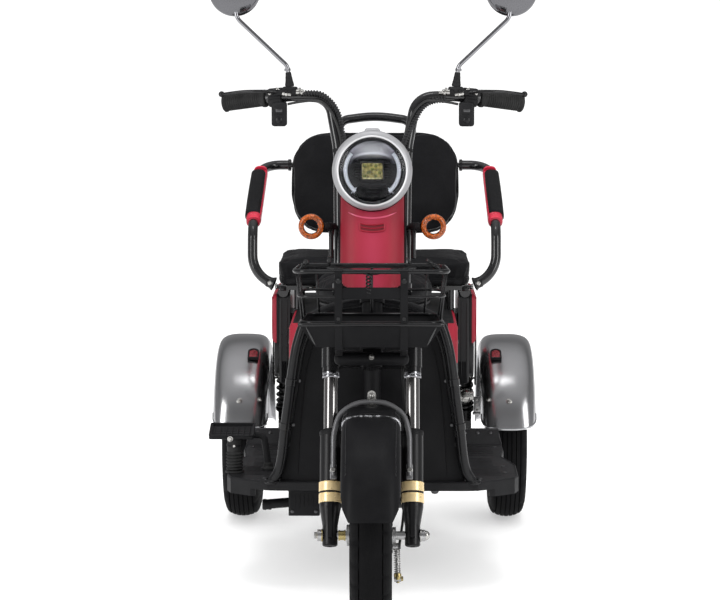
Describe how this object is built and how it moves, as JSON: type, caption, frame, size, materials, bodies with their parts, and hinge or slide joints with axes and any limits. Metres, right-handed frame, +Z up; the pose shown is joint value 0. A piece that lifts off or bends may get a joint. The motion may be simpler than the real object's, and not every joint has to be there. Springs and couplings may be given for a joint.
{
  "type": "three-wheeled electric leisure scooter",
  "caption": "Electric trike with one steered front wheel, wire basket, driver saddle, rear bench with backrest and flip-up armrests.",
  "frame": {"origin": "on the ground under the middle of the whole vehicle", "axes": "+X to the vehicle's left, +Y to its rear (the front wheel faces -Y), +Z up"},
  "size_m": [0.7282, 1.5433, 1.258],
  "materials": {
    "alloy": "black cast wheel, satin",
    "amber": "amber signal lens",
    "armpad": "black foam pad with red ends",
    "battery": "closed battery block",
    "black_gloss": "black gloss plastic",
    "black_paint": "gloss black powder coat",
    "black_plastic": "grained black plastic",
    "chrome": "polished chrome",
    "control": "switch housings",
    "gold": "gold anodised collar",
    "grey_paint": "dark grey paint",
    "grip_rubber": "ribbed black rubber",
    "lamp": "bright reflector with yellow lamp chip",
    "lens": "clear lens",
    "motor_grey": "cast aluminium",
    "red_lens": "red lens",
    "red_paint": "deep red gloss plastic",
    "saddle_vinyl": "black grained vinyl",
    "steel": "zinc plated steel",
    "tyre": "matt black ribbed rubber"
  },
  "bodies": {
    "root": {"head_tube": "black_paint", "front_guard_hoop": "black_paint", "floor_frame": "black_paint", "leg_shield": "black_gloss", "floorboard": "black_plastic", "rear_frame": "black_paint", "rear_axle_housing": "black_paint", "drive_motor": "motor_grey", "trailing_arms": "black_paint", "rear_shocks": "chrome", "rear_fenders": "chrome", "seat_body": "red_paint", "battery_pack": "battery", "saddle_post": "black_paint", "driver_saddle": "saddle_vinyl", "bench_frame": "black_paint", "bench_cushion": "saddle_vinyl", "bench_backrest": "saddle_vinyl", "side_panels": "black_gloss", "side_covers": "red_paint", "brake_pedal": "black_paint", "control_box": "black_plastic", "lamps_and_reflectors": "red_lens"},
    "steering": {"fork_legs": "black_paint", "fork_collars": "gold", "fork_stanchions": "chrome", "fork_crown": "black_paint", "front_axle": "steel", "front_brake_plate": "steel", "front_fender": "black_gloss", "fender_stay": "grey_paint", "handlebar": "black_paint", "grips": "grip_rubber", "hand_controls": "control", "mirrors": "chrome", "headlight_shell": "chrome", "headlight_lens": "lens", "headlight_unit": "lamp", "front_cowl": "red_paint", "cowl_back": "black_plastic", "turn_signals": "amber", "basket_cage": "black_paint", "basket_tray": "black_plastic", "basket_carrier": "black_paint", "control_cables": "grip_rubber"},
    "front_wheel": {"front_tyre": "tyre", "front_wheel_rim": "alloy"},
    "rear_wheel_left": {"rear_tyre_left": "tyre", "rear_wheel_rim_left": "alloy"},
    "rear_wheel_right": {"rear_tyre_right": "tyre", "rear_wheel_rim_right": "alloy"},
    "armrest_left": {"armrest_tube_left": "black_paint", "armrest_pad_left": "armpad"},
    "armrest_right": {"armrest_tube_right": "black_paint", "armrest_pad_right": "armpad"}
  },
  "joints": [
    {"name": "steering_turn", "type": "hinge", "parent": "root", "child": "steering", "pos_m": [0, -0.50735, 0.18], "axis": [0, 0.3746, 0.9272], "range_deg": [-35, 35]},
    {"name": "front_wheel_spin", "type": "hinge", "parent": "steering", "child": "front_wheel", "pos_m": [0, -0.54235, 0.18], "axis": [1, 0, 0], "continuous": true},
    {"name": "rear_wheel_left_spin", "type": "hinge", "parent": "root", "child": "rear_wheel_left", "pos_m": [0.305, 0.53765, 0.18], "axis": [1, 0, 0], "continuous": true},
    {"name": "rear_wheel_right_spin", "type": "hinge", "parent": "root", "child": "rear_wheel_right", "pos_m": [-0.305, 0.53765, 0.18], "axis": [1, 0, 0], "continuous": true},
    {"name": "armrest_left_flip", "type": "hinge", "parent": "root", "child": "armrest_left", "pos_m": [0.195, 0.61765, 0.812], "axis": [-1, 0, 0], "range_deg": [0, 90]},
    {"name": "armrest_right_flip", "type": "hinge", "parent": "root", "child": "armrest_right", "pos_m": [-0.195, 0.61765, 0.812], "axis": [-1, 0, 0], "range_deg": [0, 90]}
  ]
}
